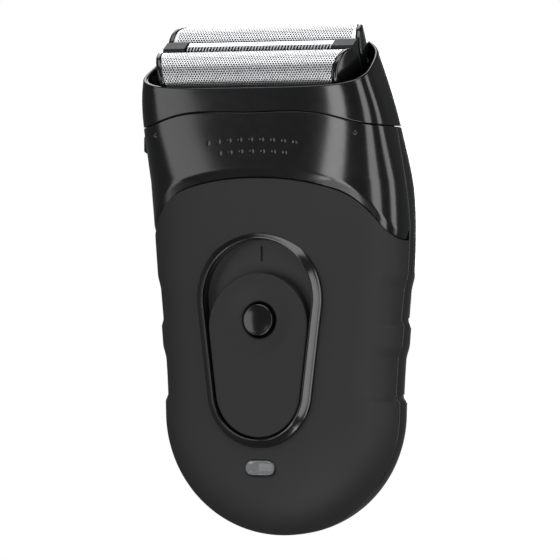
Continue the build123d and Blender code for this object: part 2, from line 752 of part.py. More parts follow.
comb_half_length = block_inner - 0.02
tooth_pitch = 0.76
slots_each_side = int((comb_half_length - 0.5) / tooth_pitch)
with BuildPart() as trimmer_comb:
    with Locations(head_level(3.3)):
        Box(2 * comb_half_length, 2.9, 0.5)
    with BuildSketch(head_level(3.0)):
        for i in range(-slots_each_side, slots_each_side + 1):
            with Locations((i * tooth_pitch, -1.15)):
                Rectangle(tooth_pitch / 2, 1.4)
            with Locations((i * tooth_pitch, 1.25)):
                Rectangle(tooth_pitch / 2, 1.0)
    extrude(amount=1, mode=Mode.SUBTRACT)
trimmer_comb.part.label = "trimmer_comb"
export_step(trimmer_comb.part, "parts/trimmer_comb.step")

with BuildPart() as trimmer_blade:
    with Locations(head_level(2.65)):
        Box(2 * (block_inner - stroke - 0.3), 1.7, 0.5)
    with Locations(head_level(0.6)):
        Box(2 * (block_inner - stroke - 0.3), 0.8, 3.8)
    with Locations(head_level(-4.9)):
        Box(3.0, 0.7, 7.4)
trimmer_blade.part.label = "trimmer_blade"
export_step(trimmer_blade.part, "parts/trimmer_blade.step")

# ---------------------------------------------------------------- head release
with BuildPart() as release_button:
    with BuildSketch(Plane(origin=(-31.3, -5.0, 88.5), x_dir=(0, 1, 0), z_dir=(1, 0, 0))):
        RectangleRounded(7.6, 3.6, 0.5)
    extrude(amount=1.2, taper=-30)
    with BuildSketch(Plane(origin=(-30.1, -5.0, 88.5), x_dir=(0, 1, 0), z_dir=(1, 0, 0))):
        RectangleRounded(9.0, 5.0, 0.6)
    extrude(amount=2.1)
    with Locations((-27.65, -5.0, 84.75)):
        Box(1.1, 5.0, 5.1)
release_button.part.label = "release_button"
export_step(release_button.part, "parts/release_button.step")

release_spring_plane = Plane(origin=(-25.25, -5.0, 83.9), x_dir=(0, 1, 0), z_dir=(-1, 0, 0))
release_spring = coil(release_spring_plane, 1.2, 1.55, 2.5, 0.15)
release_spring.label = "release_spring"
export_step(release_spring, "parts/release_spring.step")
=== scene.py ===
"""Looks of the foil shaver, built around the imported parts. Metres, same frame as the CAD: +X right, -Y the
switch side, +Z up to the foils. Sizes in this script are millimetres until place() scales them."""
import json
import math
from functools import partial

import bpy
import numpy as np
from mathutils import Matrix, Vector


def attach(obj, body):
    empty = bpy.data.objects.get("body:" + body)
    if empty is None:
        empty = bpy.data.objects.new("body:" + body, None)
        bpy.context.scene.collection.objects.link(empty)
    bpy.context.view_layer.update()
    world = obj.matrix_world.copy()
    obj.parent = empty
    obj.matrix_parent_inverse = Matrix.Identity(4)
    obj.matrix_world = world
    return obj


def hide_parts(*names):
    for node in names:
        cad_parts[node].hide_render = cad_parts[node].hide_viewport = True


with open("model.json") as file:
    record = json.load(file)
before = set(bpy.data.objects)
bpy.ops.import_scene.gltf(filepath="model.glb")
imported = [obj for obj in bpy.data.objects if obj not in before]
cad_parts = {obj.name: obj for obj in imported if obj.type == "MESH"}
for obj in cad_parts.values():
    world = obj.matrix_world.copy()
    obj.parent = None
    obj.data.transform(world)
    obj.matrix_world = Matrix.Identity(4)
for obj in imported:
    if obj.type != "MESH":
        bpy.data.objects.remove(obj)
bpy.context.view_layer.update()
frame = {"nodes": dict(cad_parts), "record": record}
nodes = frame["nodes"]
MM = 0.001


# ------------------------------------------------------------------ curves
def spline(xs, ys):
    """Natural cubic spline through the points: second derivatives from the tridiagonal system, then one
    cubic per span."""
    xs, ys = np.asarray(xs, float), np.asarray(ys, float)
    n, h = len(xs), np.diff(xs)
    m = np.eye(n)
    r = np.zeros(n)
    for i in range(1, n - 1):
        m[i, i - 1:i + 2] = h[i - 1], 2 * (h[i - 1] + h[i]), h[i]
        r[i] = 6 * ((ys[i + 1] - ys[i]) / h[i] - (ys[i] - ys[i - 1]) / h[i - 1])
    c = np.linalg.solve(m, r)

    def at(x):
        x = np.asarray(x, float)
        i = np.clip(np.searchsorted(xs, x) - 1, 0, n - 2)
        a, b, w = xs[i + 1] - x, x - xs[i], h[i]
        return (c[i] * a ** 3 + c[i + 1] * b ** 3) / (6 * w) + (ys[i] / w - c[i] * w / 6) * a \
            + (ys[i + 1] / w - c[i + 1] * w / 6) * b
    return at


def ease(x, low=0.0, high=1.0):
    """Cubic step: 0 below low, 1 above high, 3t^2 - 2t^3 between."""
    t = np.clip((np.asarray(x, float) - low) / (high - low), 0, 1)
    return t * t * (3 - 2 * t)


def mirrored(points):
    """Spline through points given for x >= 0 and their mirror images."""
    pts = [(-x, z) for x, z in reversed(points) if x > 0] + list(points)
    return spline(*zip(*pts))


# ------------------------------------------------------------------ the body's form
FOOT = 27.8
SECTIONS = np.array([
    (27.8, 27.8, -14.4, 14.6), (37, 28.1, -14.6, 14.9), (48, 28.9, -14.7, 15.0), (60, 29.9, -14.8, 15.0),
    (72, 30.4, -15.9, 14.6), (80, 30.4, -17.3, 12.9), (87, 30.0, -18.8, 9.4), (95, 29.4, -20.7, 4.9),
    (101, 28.3, -22.4, 2.8), (108, 26.4, -23.6, 1.0), (115, 24.2, -24.4, -0.6)])
half_at, front_at, back_at = (spline(SECTIONS[:, 0], SECTIONS[:, i]) for i in (1, 2, 3))
arch_z = mirrored([(0, 80.5), (17, 78.4), (25.5, 73.0), (30, 66.9), (34, 64.4)])
seam_z = mirrored([(0, 95.0), (19, 94.2), (26.5, 92.3), (34, 91.9)])
BACK_FLAT = 14.5
GAP = 0.075
TILT = math.radians(33.1)
TC, TS = math.cos(TILT), math.sin(TILT)
HEAD_Y, HEAD_Z = -12.4, 107.2
rim_n = spline([-13.5, -8, 0, 8, 14], [-0.6, -0.9, -1.6, -1.9, -1.6])
SCALLOPS = ((59.2, 49.0, 0.75), (43.4, 32.0, 0.92))  # top, low edge and depth of each finger hollow
STEP_IN, STEP_OUT = 3.8, 1.9
BACK_SQUARE, FRONT_SQUARER = 3.0, 1.4
CASE_SEAM_LEAN = 7.5 / 26


def scallop(z):
    """Finger hollows down the sides: a step in over 3.8 mm, a slow deepening by a fifth and a quick step out."""
    z = np.asarray(z, float)
    return sum(depth * ease((top - z) / STEP_IN) * (0.8 + 0.2 * np.clip((top - z) / (top - low), 0, 1))
               * ease(z, low - STEP_OUT, low) for top, low, depth in SCALLOPS)


def skin(psi, z, inset=0.0):
    """Rounded-box section in polar form: r = (|cos/a|^p + |sin/b|^p)^(-1/p) about the section's middle, with
    half width a and half depth b from the height, and the side hollows taken off a. The back flattens off
    exponentially over its last half millimetre."""
    zz = np.maximum(z, FOOT)
    hollow = scallop(z) * (1 - ease(np.abs(psi) / math.radians(52)))
    a = half_at(zz) - inset - hollow
    f, k = front_at(zz) + inset, back_at(zz) - inset
    p = np.where(psi > 0, BACK_SQUARE, BACK_SQUARE + FRONT_SQUARER * np.clip((zz - 80) / 20, 0, 1))
    c, s = np.cos(psi), np.sin(psi)
    r = (np.abs(c / a) ** p + np.abs(s / ((k - f) / 2)) ** p) ** (-1 / p)
    y = (f + k) / 2 + r * s
    flat = BACK_FLAT - inset
    y = np.where(y > flat - 0.5, flat - 0.25 - 0.25 * np.exp(-(y - flat + 0.5) / 0.25), y)
    return r * c, y


def split_psi(z, shift):
    """Polar angle where the section crosses the case seam (y = 0, leaning forward above the grip)."""
    target = np.where(z > 70, -CASE_SEAM_LEAN * (z - 70), 0.0) + shift
    lo, hi = np.full(np.shape(z), -1.2), np.full(np.shape(z), 1.2)
    for _ in range(28):
        mid = (lo + hi) / 2
        below = skin(mid, z)[1] < target
        lo, hi = np.where(below, mid, lo), np.where(below, hi, mid)
    return mid


def head_un(y, z):
    """Head coordinates of a point: u up the tilt, n out of the head."""
    return (y - HEAD_Y) * TC + (z - HEAD_Z) * TS, -(y - HEAD_Y) * TS + (z - HEAD_Z) * TC


def head_yz(u, n):
    """The reverse: depth and height of a point (u, n) of the tilted head."""
    return HEAD_Y + u * TC - n * TS, HEAD_Z + u * TS + n * TC


# ------------------------------------------------------------------ meshes
def weld(v, f):
    """Merges equal points and drops the faces that collapse."""
    _, first, back = np.unique(np.round(v, 5), axis=0, return_index=True, return_inverse=True)
    back = back.ravel()
    out = []
    for face in f:
        g = [int(back[i]) for i in face]
        g = [i for k, i in enumerate(g) if i != g[k - 1]]
        if len(set(g)) == len(g) and len(g) > 2:
            out.append(g)
    return v[first], out


def grid_faces(rows, cols, wrap=False, flip=False):
    """Quads between neighbouring rows of a grid, closed round its columns where wrap is set."""
    r, c = np.meshgrid(np.arange(rows - 1), np.arange(cols if wrap else cols - 1), indexing="ij")
    d = (c + 1) % cols
    q = np.stack([r * cols + c, r * cols + d, (r + 1) * cols + d, (r + 1) * cols + c], -1).reshape(-1, 4)
    return (q[:, ::-1] if flip else q).tolist()


def place(name, v, f, body, material, replaces=(), uv=None, smooth=True, sharp=None):
    """Makes the mesh object from millimetre points, rides it on its body and gives it its looks."""
    mesh = bpy.data.meshes.new(name)
    mesh.from_pydata((np.asarray(v, float) * MM).tolist(), [], f)
    mesh.update()
    mesh.polygons.foreach_set("use_smooth", [smooth] * len(mesh.polygons))
    if sharp is not None:
        mesh.set_sharp_from_angle(angle=math.radians(sharp))
    if uv is not None:
        layer = mesh.uv_layers.new(name="UVMap")
        index = np.zeros(len(mesh.loops), int)
        mesh.loops.foreach_get("vertex_index", index)
        layer.data.foreach_set("uv", np.asarray(uv, np.float32)[index].ravel())
    obj = bpy.data.objects.new(name, mesh)
    bpy.context.scene.collection.objects.link(obj)
    mesh.materials.append(material)
    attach(obj, body)
    if replaces:
        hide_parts(*replaces)
    return obj


def shell(columns, low, high, rows=90, foot_rows=0, roll=0.22, wall=1.2, dip=None, dense=1.0):
    """Patch of the body's skin for x >= 0. columns(t, z) is a column's polar angle, low and high the edge heights
    as functions of (x, y, z). Both edges and the last column roll inwards and end in a wall. Foot rows turn
    the lowest section about the foot's axis: (a sin phi, y, foot - a cos phi)."""
    t = np.append(np.linspace(0, 1, 80), [1.0, 1.0])
    sunk = np.append(np.zeros(80), [roll * 0.3, wall])

    def edge(curve, z):
        z = np.full(len(t), float(z))
        for _ in range(40):
            z = 0.5 * z + 0.5 * curve(*skin(columns(t, z), z), z)
        return z
    top = edge(high, 88)
    turn = np.linspace(0, math.pi / 2, 6)
    if foot_rows:
        bottom, lines = np.full(len(t), FOOT), []
    else:
        bottom = edge(low, 80)
        lines = [(bottom + roll * 0.2, wall)]
        lines += [(bottom + roll * (1 - math.sin(a)), roll * (1 - math.cos(a))) for a in turn[:0:-1]]
        bottom = bottom + roll
    lines += [(bottom + (top - roll - bottom) * k, 0.0) for k in np.linspace(0, 1, rows) ** dense]
    lines += [(top - roll * (1 - math.sin(a)), roll * (1 - math.cos(a))) for a in turn[1:]]
    lines.append((top - roll * 0.2, wall))
    grid = []
    if foot_rows:
        x, y = skin(columns(t, np.full(len(t), FOOT)), np.full(len(t), FOOT), sunk)
        for phi in np.linspace(0, math.pi / 2, foot_rows)[:-1]:
            grid.append(np.stack([x * math.sin(phi), y, FOOT - x * math.cos(phi)], -1))
    for z, inset in lines:
        psi = columns(t, z)
        sink = np.maximum(sunk, inset) + (dip(skin(psi, z)[0], z) if dip else 0.0)
        grid.append(np.stack([*skin(psi, z, sink), z], -1))
    return np.array(grid)


def front_columns(t, z):
    """From the front middle round to the case seam."""
    return -math.pi / 2 + t * (split_psi(z, -GAP) + math.pi / 2)


def rear_columns(t, z):
    """From the back middle round to the case seam."""
    return math.pi / 2 - t * (math.pi / 2 - split_psi(z, GAP))


def mirror_grid(g, flip=False):
    """Right half with columns from x = 0 outwards, plus its mirror image, as one welded mesh."""
    left = g[:, ::-1] * (-1, 1, 1)
    full = np.concatenate([left[:, :-1], g], 1)
    return weld(full.reshape(-1, 3), grid_faces(*full.shape[:2], flip=flip))


def cut(v, f, hole, side, depth=1.3):
    """Opens a hole where hole(x, z) < 0: drops the faces that enter it, slides the rim's points along the
    distance's slope onto its edge and back onto the skin, and adds a wall going in by depth."""
    v = np.array(v)
    near = side * v[:, 1] > -3
    d = np.where(near, hole(v[:, 0], v[:, 2]), 9.0)
    keep = [q for q in f if min(d[i] for i in q) > 0]
    count = {}
    for q in keep:
        for k in range(len(q)):
            e = (q[k - 1], q[k])
            count[e] = count.get(e, 0) + 1
    rim = [e for e in count if (e[1], e[0]) not in count and d[e[0]] < 2.5 and d[e[1]] < 2.5]
    move = sorted({i for e in rim for i in e})
    h = 1e-3
    x, z = v[move, 0], v[move, 2]
    for _ in range(4):
        g0 = hole(x, z)
        gx, gz = (hole(x + h, z) - g0) / h, (hole(x, z + h) - g0) / h
        size = np.maximum(np.hypot(gx, gz), 1e-6)
        x, z = x - g0 * gx / size, z - g0 * gz / size
    v[move] = np.stack([x, skin_y(x, z, side), z], -1)
    inner = {i: len(v) + k for k, i in enumerate(move)}
    v = np.concatenate([v, v[move] - np.array([0, side * depth, 0])])
    walls = [[b, a, inner[a], inner[b]] for a, b in rim]
    return v, keep + walls


def skin_y(x, z, side):
    """Depth of the skin at (x, z) on the front (side -1) or the back (side 1), by bisection on the angle."""
    z = np.asarray(z, float)
    reach = np.where(z < FOOT, np.hypot(x, FOOT - z), np.abs(x))
    lo, hi = np.zeros_like(z), np.full_like(z, math.pi / 2)
    for _ in range(30):
        mid = (lo + hi) / 2
        wide = skin(side * mid, np.maximum(z, FOOT))[0] > reach
        lo, hi = np.where(wide, mid, lo), np.where(wide, hi, mid)
    return skin(side * mid, np.maximum(z, FOOT))[1]


def capsule(cx, cz, half, radius):
    """Distance to a level slot outline, negative inside."""
    return lambda x, z: np.hypot(np.maximum(np.abs(x - cx) - half, 0), z - cz) - radius


def circle(cx, cz, radius):
    """Distance to a circle, negative inside."""
    return lambda x, z: np.hypot(x - cx, z - cz) - radius


# ------------------------------------------------------------------ the switch well's egg outline
TOP_Z, TOP_R, LOW_Z, LOW_R = 53.5, 13.3, 32.9, 10.8


def egg(count, top_z=TOP_Z, top_r=TOP_R, low_z=LOW_Z, low_r=LOW_R):
    """Points and outward normals round two circles joined by tangents that lean by asin((R - r) / d)."""
    lean = math.asin((top_r - low_r) / (top_z - low_z))
    side = (top_z - low_z) * math.cos(lean)
    spans = [top_r * (math.pi + 2 * lean), side, low_r * (math.pi - 2 * lean), side]
    ends = np.cumsum(spans)
    s = np.linspace(0, ends[-1], count, endpoint=False)
    part = np.searchsorted(ends, s, side="right")
    along = s - np.append(0, ends)[part]
    pick = [part == 0, part == 1, part == 2]
    angle = np.select(pick, [along / top_r - lean, math.pi + lean, math.pi + lean + along / low_r], -lean)
    k = np.select(pick, [0.0, along / side, 1.0], 1 - along / side)
    radius = top_r + (low_r - top_r) * k
    nx, nz = np.cos(angle), np.sin(angle)
    return np.stack([radius * nx, top_z + (low_z - top_z) * k + radius * nz, nx, nz], -1)


def egg_hole(grow):
    """Distance to the egg outline grown by grow: the nearer of two circles and the cone between them."""
    lean = math.asin((TOP_R - LOW_R) / (TOP_Z - LOW_Z))

    def hole(x, z):
        x = np.abs(x)
        k = np.clip((z - LOW_Z + x * math.tan(lean)) / (TOP_Z - LOW_Z), 0, 1)
        return np.hypot(x, z - (LOW_Z + (TOP_Z - LOW_Z) * k)) - (LOW_R + (TOP_R - LOW_R) * k) - grow
    return hole


def around(outline, profile):
    """Sweeps a profile of (distance outwards, depth y) round an outline with normals."""
    rows = [np.stack([outline[:, 0] + d * outline[:, 2], np.full(len(outline), float(y)),
                      outline[:, 1] + d * outline[:, 3]], -1) for d, y in profile]
    return np.array(rows)


def turned(profile, centre, count=64):
    """Surface of revolution about an axis along y: profile of (radius, y)."""
    a = np.linspace(0, 2 * math.pi, count, endpoint=False)
    rows = [np.stack([centre[0] + r * np.cos(a), np.full(count, float(y)), centre[1] + r * np.sin(a)], -1)
            for r, y in profile]
    return np.array(rows)


def rounded(r, y0, y1, edge, steps=5):
    """Profile of a disc's rounded edge: from radius r - edge on the face y0 round to the wall at y1."""
    turn = np.linspace(0, math.pi / 2, steps)
    sign = 1 if y1 > y0 else -1
    return [(r - edge * (1 - math.sin(a)), y0 + sign * edge * (1 - math.cos(a))) for a in turn] + [(r, y1)]


def solid(grid, wrap=True, flip=False):
    """Welded mesh of a grid of points, with poles and seams closed."""
    return weld(grid.reshape(-1, 3), grid_faces(*grid.shape[:2], wrap=wrap, flip=flip))


# ------------------------------------------------------------------ materials
def linear(code):
    """sRGB hex to linear RGBA."""
    c = [int(code[i:i + 2], 16) / 255 for i in (1, 3, 5)]
    return (*[x / 12.92 if x <= 0.04045 else ((x + 0.055) / 1.055) ** 2.4 for x in c], 1.0)


def add(tree, kind, inputs=(), out=0, **settings):
    """Adds one shader node with its settings and returns one of its outputs. inputs maps a socket's name or
    number to a value, or to the output that feeds it."""
    node = tree.nodes.new("ShaderNode" + kind)
    for name, value in settings.items():
        setattr(node, name, value)
    for key, value in dict(inputs).items():
        if isinstance(value, bpy.types.NodeSocket):
            tree.links.new(value, node.inputs[key])
        else:
            node.inputs[key].default_value = value
    return node.outputs[out] if len(node.outputs) else None


def begin(name):
    """An empty material, the call that adds nodes to it, and the object's coordinates in millimetres."""
    m = bpy.data.materials.new(name)
    m.use_nodes = True
    m.node_tree.nodes.clear()
    put = partial(add, m.node_tree)
    return m, put, put("VectorMath", {0: put("TexCoord", out="Object"), "Scale": 1 / MM}, operation="SCALE")


def plastic(name, dark, light, rough, grain=2.0, relief=0.004, spread=0.04, level=0.5):
    """Moulded plastic: colour between dark and light and a bump of relief millimetres, both on a noise of
    grain cells to the millimetre, and roughness within spread of rough on one three times as coarse."""
    m, put, at = begin(name)
    cloud = put("TexNoise", {"Vector": at, "Scale": grain, "Detail": 4.0})
    drift = put("TexNoise", {"Vector": at, "Scale": grain * 0.3, "Detail": 4.0})
    put("OutputMaterial", {"Surface": put("BsdfPrincipled", {
        "Base Color": put("Mix", {0: cloud, 6: linear(dark), 7: linear(light)}, 2, data_type="RGBA"),
        "Roughness": put("MapRange", {"Value": drift, "To Min": rough - spread, "To Max": rough + spread}),
        "Normal": put("Bump", {"Height": cloud, "Distance": relief * MM, "Strength": 1.0}),
        "Specular IOR Level": level})})
    return m


def metal(name, dark, light, rough, stretch=(0.3, 12.0, 12.0), relief=0.003):
    """Brushed or drawn metal: noise with its own number of cells to the millimetre along each axis."""
    m, put, at = begin(name)
    drawn = put("VectorMath", {0: at, 1: stretch}, operation="MULTIPLY")
    lines = put("TexNoise", {"Vector": drawn, "Scale": 1.0, "Detail": 3.0})
    put("OutputMaterial", {"Surface": put("BsdfPrincipled", {
        "Base Color": put("Mix", {0: lines, 6: linear(dark), 7: linear(light)}, 2, data_type="RGBA"),
        "Metallic": 1.0,
        "Roughness": put("MapRange", {"Value": lines, "To Min": rough - 0.06, "To Max": rough + 0.08}),
        "Normal": put("Bump", {"Height": lines, "Distance": relief * MM, "Strength": 1.0})})})
    return m


DIMPLE_PITCH, DIMPLE_RADIUS, DIMPLE_DEPTH = 2.65, 0.66, 0.06
DIMPLE_ROWS = ((89.0, 11.9), (86.4, 9.2))  # height in the middle and half width of each row
ROW_SAG, ROW_REACH = 0.75, 10.6


def dimpled_plastic(name):
    """Polished moulding with two rows of grip dimples: a bowl in the bump from the distance to the nearest
    dimple, in rows that sag as ROW_SAG (x / ROW_REACH)^2. The same bowls darken the colour to #050505 as
    painted shade in the dimples."""
    m, put, at = begin(name)
    x, y, z = put("SeparateXYZ", {0: at}).node.outputs
    across = put("Math", {0: x, 1: DIMPLE_PITCH / 2, 2: -DIMPLE_PITCH / 2}, operation="WRAP")
    width = put("Math", {0: x}, operation="ABSOLUTE")
    part = put("Math", {0: width, 1: ROW_REACH}, operation="DIVIDE")
    sag = put("Math", {0: put("Math", {0: part, 1: 2.0}, operation="POWER"), 1: ROW_SAG}, operation="MULTIPLY")
    level = put("Math", {0: z, 1: sag}, operation="ADD")
    bowls = []
    for height, half in DIMPLE_ROWS:
        up = put("Math", {0: level, 1: height}, operation="SUBTRACT")
        far = put("VectorMath", {0: put("CombineXYZ", {0: across, 1: up})}, "Value", operation="LENGTH")
        bowl = put("MapRange", {"Value": far, "From Min": 0.15, "From Max": DIMPLE_RADIUS, "To Min": 1.0,
                                "To Max": 0.0}, interpolation_type="SMOOTHSTEP")
        within = put("Math", {0: width, 1: half}, operation="LESS_THAN")
        bowls.append(put("Math", {0: bowl, 1: within}, operation="MULTIPLY"))
    front = put("Math", {0: y, 1: -10.0}, operation="LESS_THAN")
    bowls = put("Math", {0: put("Math", dict(enumerate(bowls)), operation="MAXIMUM"), 1: front}, operation="MULTIPLY")
    cloud = put("TexNoise", {"Vector": at, "Scale": 1.6, "Detail": 4.0})
    drift = put("TexNoise", {"Vector": at, "Scale": 0.5, "Detail": 4.0})
    black = put("Mix", {0: cloud, 6: linear("#0c0c0d"), 7: linear("#101011")}, 2, data_type="RGBA")
    height = put("Math", {0: put("Math", {0: cloud, 1: 0.02}, operation="MULTIPLY"), 1: bowls}, operation="SUBTRACT")
    # Painted shade: the bowl mask darkens the colour to #050505 in the dimples, standing in for shade in the hollows.
    put("OutputMaterial", {"Surface": put("BsdfPrincipled", {
        "Base Color": put("Mix", {0: bowls, 6: black, 7: linear("#050505")}, 2, data_type="RGBA"),
        "Roughness": put("MapRange", {"Value": drift, "To Min": 0.13, "To Max": 0.2}),
        "Normal": put("Bump", {"Height": height, "Distance": DIMPLE_DEPTH * MM, "Strength": 1.0})})})
    return m


HOLE_PITCH, HOLE_ROW = 0.64, 0.49  # coarser than a real foil's, so that the holes show
PLAIN_END, PLAIN_FLANK, END_BARREL = 21.4, 7.6, 0.004


def perforated_foil(name):
    """Etched foil from the sheet's own millimetre UVs: round holes on two rectangular grids offset by half a
    cell, as pits painted dark as shade, with plain borders beyond |u| = PLAIN_END - END_BARREL v^2 and |v| =
    PLAIN_FLANK."""
    m, put, at = begin(name)
    uv = put("UVMap")
    far = []
    for shift in ((0.0, 0.0, 0.0), (HOLE_PITCH / 2, HOLE_ROW, 0.0)):
        moved = put("VectorMath", {0: uv, 1: shift}, operation="ADD")
        cell = put("VectorMath", {0: moved, 1: (HOLE_PITCH / 2, HOLE_ROW, 1.0),
                                  2: (-HOLE_PITCH / 2, -HOLE_ROW, -1.0)}, operation="WRAP")
        far.append(put("VectorMath", {0: cell}, "Value", operation="LENGTH"))
    near = put("Math", dict(enumerate(far)), operation="MINIMUM")
    pit = put("MapRange", {"Value": near, "From Min": 0.17, "From Max": 0.245, "To Min": 1.0, "To Max": 0.0},
              interpolation_type="SMOOTHSTEP")
    u, v, _ = put("SeparateXYZ", {0: uv}).node.outputs
    edge = put("Math", {0: put("Math", {0: v, 1: v}, operation="MULTIPLY"), 1: -END_BARREL, 2: PLAIN_END},
               operation="MULTIPLY_ADD")
    for axis, limit in ((u, edge), (v, PLAIN_FLANK)):
        size = put("Math", {0: axis}, operation="ABSOLUTE")
        within = put("Math", {0: size, 1: limit}, operation="LESS_THAN")
        pit = put("Math", {0: pit, 1: within}, operation="MULTIPLY")
    cloud = put("TexNoise", {"Vector": at, "Scale": 0.8, "Detail": 4.0})
    bright = put("Mix", {0: cloud, 6: linear("#c9cbcd"), 7: linear("#dcdddf")}, 2, data_type="RGBA")
    land = put("Math", {0: 1.0, 1: pit}, operation="SUBTRACT")
    # Painted shade: the holes get near-black #141414 and little metal, standing in for the shade seen through them.
    put("OutputMaterial", {"Surface": put("BsdfPrincipled", {
        "Base Color": put("Mix", {0: pit, 6: bright, 7: linear("#141414")}, 2, data_type="RGBA"),
        "Metallic": put("MapRange", {"Value": pit, "To Min": 1.0, "To Max": 0.2}),
        "Roughness": put("MapRange", {"Value": cloud, "To Min": 0.36, "To Max": 0.46}),
        "Normal": put("Bump", {"Height": land, "Distance": 0.05 * MM, "Strength": 0.6})})})
    return m


def clear_plastic(name):
    """Clear moulded acrylic with a faint grey drift in colour and polish."""
    m, put, at = begin(name)
    cloud = put("TexNoise", {"Vector": at, "Scale": 1.2, "Detail": 4.0})
    put("OutputMaterial", {"Surface": put("BsdfPrincipled", {
        "Base Color": put("Mix", {0: cloud, 6: linear("#c8cccf"), 7: linear("#e8ebed")}, 2, data_type="RGBA"),
        "Roughness": put("MapRange", {"Value": cloud, "To Min": 0.04, "To Max": 0.1}),
        "Transmission Weight": 0.85, "IOR": 1.49})})
    return m


# Polished black ABS: long sharp streaks of the lamps, with hardly any grain.
gloss = plastic("polished_abs", "#0c0c0d", "#101011", 0.16, 1.6, 0.0015)
cover = dimpled_plastic("polished_abs_dimpled")
# Spark-textured grip: an even dark grey with no streaks, its grain just seen close up.
soft = plastic("spark_textured_abs", "#191919", "#1e1e1e", 0.62, 9.0, 0.02, 0.05, level=0.3)
# Satin mouldings: a broad dull sheen.
dark = plastic("satin_abs", "#191b1a", "#212322", 0.45, 4.0, 0.006, level=0.2)
# Painted shade: the switch well gets a darker copy of the satin moulding, standing in for shade in the recess.
well = plastic("satin_abs_well_painted_shade", "#161616", "#1c1c1c", 0.45, 6.0, 0.01)
inner = plastic("grey_abs", "#2c2d2f", "#343538", 0.5, 2.0, 0.01)
white = plastic("acetal", "#c9c7c0", "#d8d6d0", 0.4, 2.0, 0.008)
# Moulded rubber takes the light flat, solder mask and shrink sleeve take it like lacquer.
rubber = plastic("moulded_rubber", "#131313", "#1b1b1b", 0.7, 5.0, 0.02)
board = plastic("solder_mask", "#123f22", "#1a5230", 0.35, 1.5, 0.01)
sleeve = plastic("shrink_sleeve", "#183f5e", "#1f4c70", 0.3, 1.0, 0.004)
# Metals: the foil is bright between pits painted dark as shade, ground and drawn steel show their lines.
foil = perforated_foil("etched_foil")
blade = metal("ground_steel", "#9b9da0", "#c3c5c8", 0.24)
steel = metal("drawn_steel", "#8f9194", "#b4b6b9", 0.3)
nickel = metal("nickel_strip", "#a5a192", "#c4c0b2", 0.3)
can = metal("plated_can", "#8e908d", "#adafac", 0.33, (4.0, 4.0, 0.4))
lens = clear_plastic("clear_acrylic")
LOOKS = {"gloss_black": gloss, "soft_black": soft, "dark_plastic": dark, "inner_plastic": inner,
         "white_plastic": white, "rubber_black": rubber, "board_green": board, "component_black": dark,
         "component_white": white, "clear_lens": lens, "cell_sleeve": sleeve, "nickel_strip": nickel,
         "motor_can": can, "screw_steel": steel, "spring_steel": steel, "blade_steel": blade, "foil_steel": foil}
for part in frame["record"]["subparts"]:
    mesh = nodes[part["node"]].data
    mesh.materials.clear()
    mesh.materials.append(LOOKS[part["material_slot"]])
nodes["switch_well"].data.materials[0] = well


# ------------------------------------------------------------------ case
LIGHT_Z, LIGHT_HALF, LIGHT_R = 15.7, 1.8, 1.6
SCREWS = ((-19, 24), (19, 24), (-21.5, 70), (21.5, 70))
BEVEL_RUN, BEVEL_DEPTH, CREASE = 2.3, 0.5, 14
lens_hole = capsule(0, LIGHT_Z, LIGHT_HALF, LIGHT_R + 0.12)
g = shell(front_columns, None, lambda x, y, z: arch_z(x) - GAP, rows=120, foot_rows=70)
v, f = mirror_grid(g)
v, f = cut(v, f, egg_hole(1.2), -1)
v, f = cut(v, f, lens_hole, -1, 1.0)
place("grip_skin", v, f, "housing", soft, ["grip_panel"])


def band(x, z):
    """Bevel above the grip's arched edge: with d the height over the edge as a share of BEVEL_RUN, the cover
    sinks by BEVEL_DEPTH (1 - d), rounded at the crease as log(1 + exp(CREASE (1 - d))) / CREASE."""
    d = (z - arch_z(x)) / BEVEL_RUN
    return BEVEL_DEPTH * np.log1p(np.exp(np.clip(CREASE * (1 - d), -40, 40))) / CREASE


g = shell(front_columns, lambda x, y, z: arch_z(x) + GAP, lambda x, y, z: seam_z(x) - GAP, rows=90, dip=band)
v, f = mirror_grid(g)
place("cover_skin", v, f, "housing", cover, ["upper_cover"])

g = shell(rear_columns, None, lambda x, y, z: seam_z(x) - GAP, rows=150, foot_rows=70)
v, f = mirror_grid(g, flip=True)
for hx, hz in SCREWS:
    v, f = cut(v, f, circle(hx, hz, 2.4), 1, 2.6)
place("back_skin", v, f, "housing", gloss, ["rear_cover"])

# ------------------------------------------------------------------ head frame
FRAME_WALL = 1.1
RELIEF_U, THINNEST = 10.2, 0.12  # the inner wall keeps clear of the rear foil's flank


def rim_height(x, y, z):
    """Height at which a column of the skin reaches the frame's rim, a curve in the tilted head."""
    u, n = head_un(y, z)
    return z + (rim_n(u) - n) / TC


round_frame = -math.pi / 2 + np.linspace(0, 1, 150) * math.pi


def settle(curve, z):
    """Heights where the frame's columns meet an edge curve, by averaging each height with the curve's."""
    z = np.full(len(round_frame), float(z))
    for _ in range(60):
        z = 0.5 * z + 0.5 * curve(*skin(round_frame, z), z)
    return z


